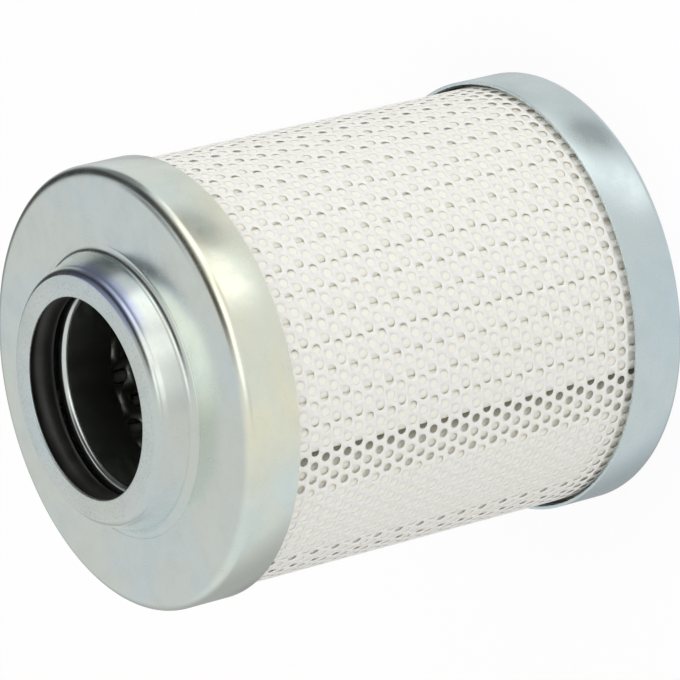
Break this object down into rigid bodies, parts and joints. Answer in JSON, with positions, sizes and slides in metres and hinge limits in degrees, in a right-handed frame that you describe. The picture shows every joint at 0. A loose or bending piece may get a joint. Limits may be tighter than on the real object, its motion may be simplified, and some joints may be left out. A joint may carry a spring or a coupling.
{
  "type": "hydraulic filter",
  "caption": "Hydraulic oil filter element: pleated pack on a perforated core inside a perforated wrap, between two pressed steel end caps, one with a necked, sealed spigot hole.",
  "frame": {"origin": "centre of the closed end cap's outer face, on which the filter stands", "axes": "+Z along the filter's axis and out through the neck; the pictured side faces -Y"},
  "size_m": [0.068, 0.068, 0.0866],
  "materials": {
    "plated_steel": "zinc plated pressed sheet, satin",
    "guide_steel": "plated, bright at the bend",
    "core_steel": "oiled steel sheet",
    "seal_rubber": "moulded, dull",
    "adhesive": "cured resin",
    "wrap_plastic": "thin sheet, satin",
    "support_mesh": "woven screen, coated",
    "fleece": "spunbonded fleece",
    "glass_fibre": "bonded fibre mat"
  },
  "bodies": {
    "root": {"closed_end_cap": "plated_steel", "open_end_cap": "plated_steel", "spigot_guide": "guide_steel", "seal_ring": "seal_rubber", "core_tube": "core_steel", "closed_end_bed": "adhesive", "open_end_bed": "adhesive", "outer_wrap": "wrap_plastic", "outer_support_mesh": "support_mesh", "outer_fleece": "fleece", "filter_media": "glass_fibre", "inner_fleece": "fleece", "inner_support_mesh": "support_mesh", "side_seam_strip": "adhesive"}
  },
  "joints": []
}
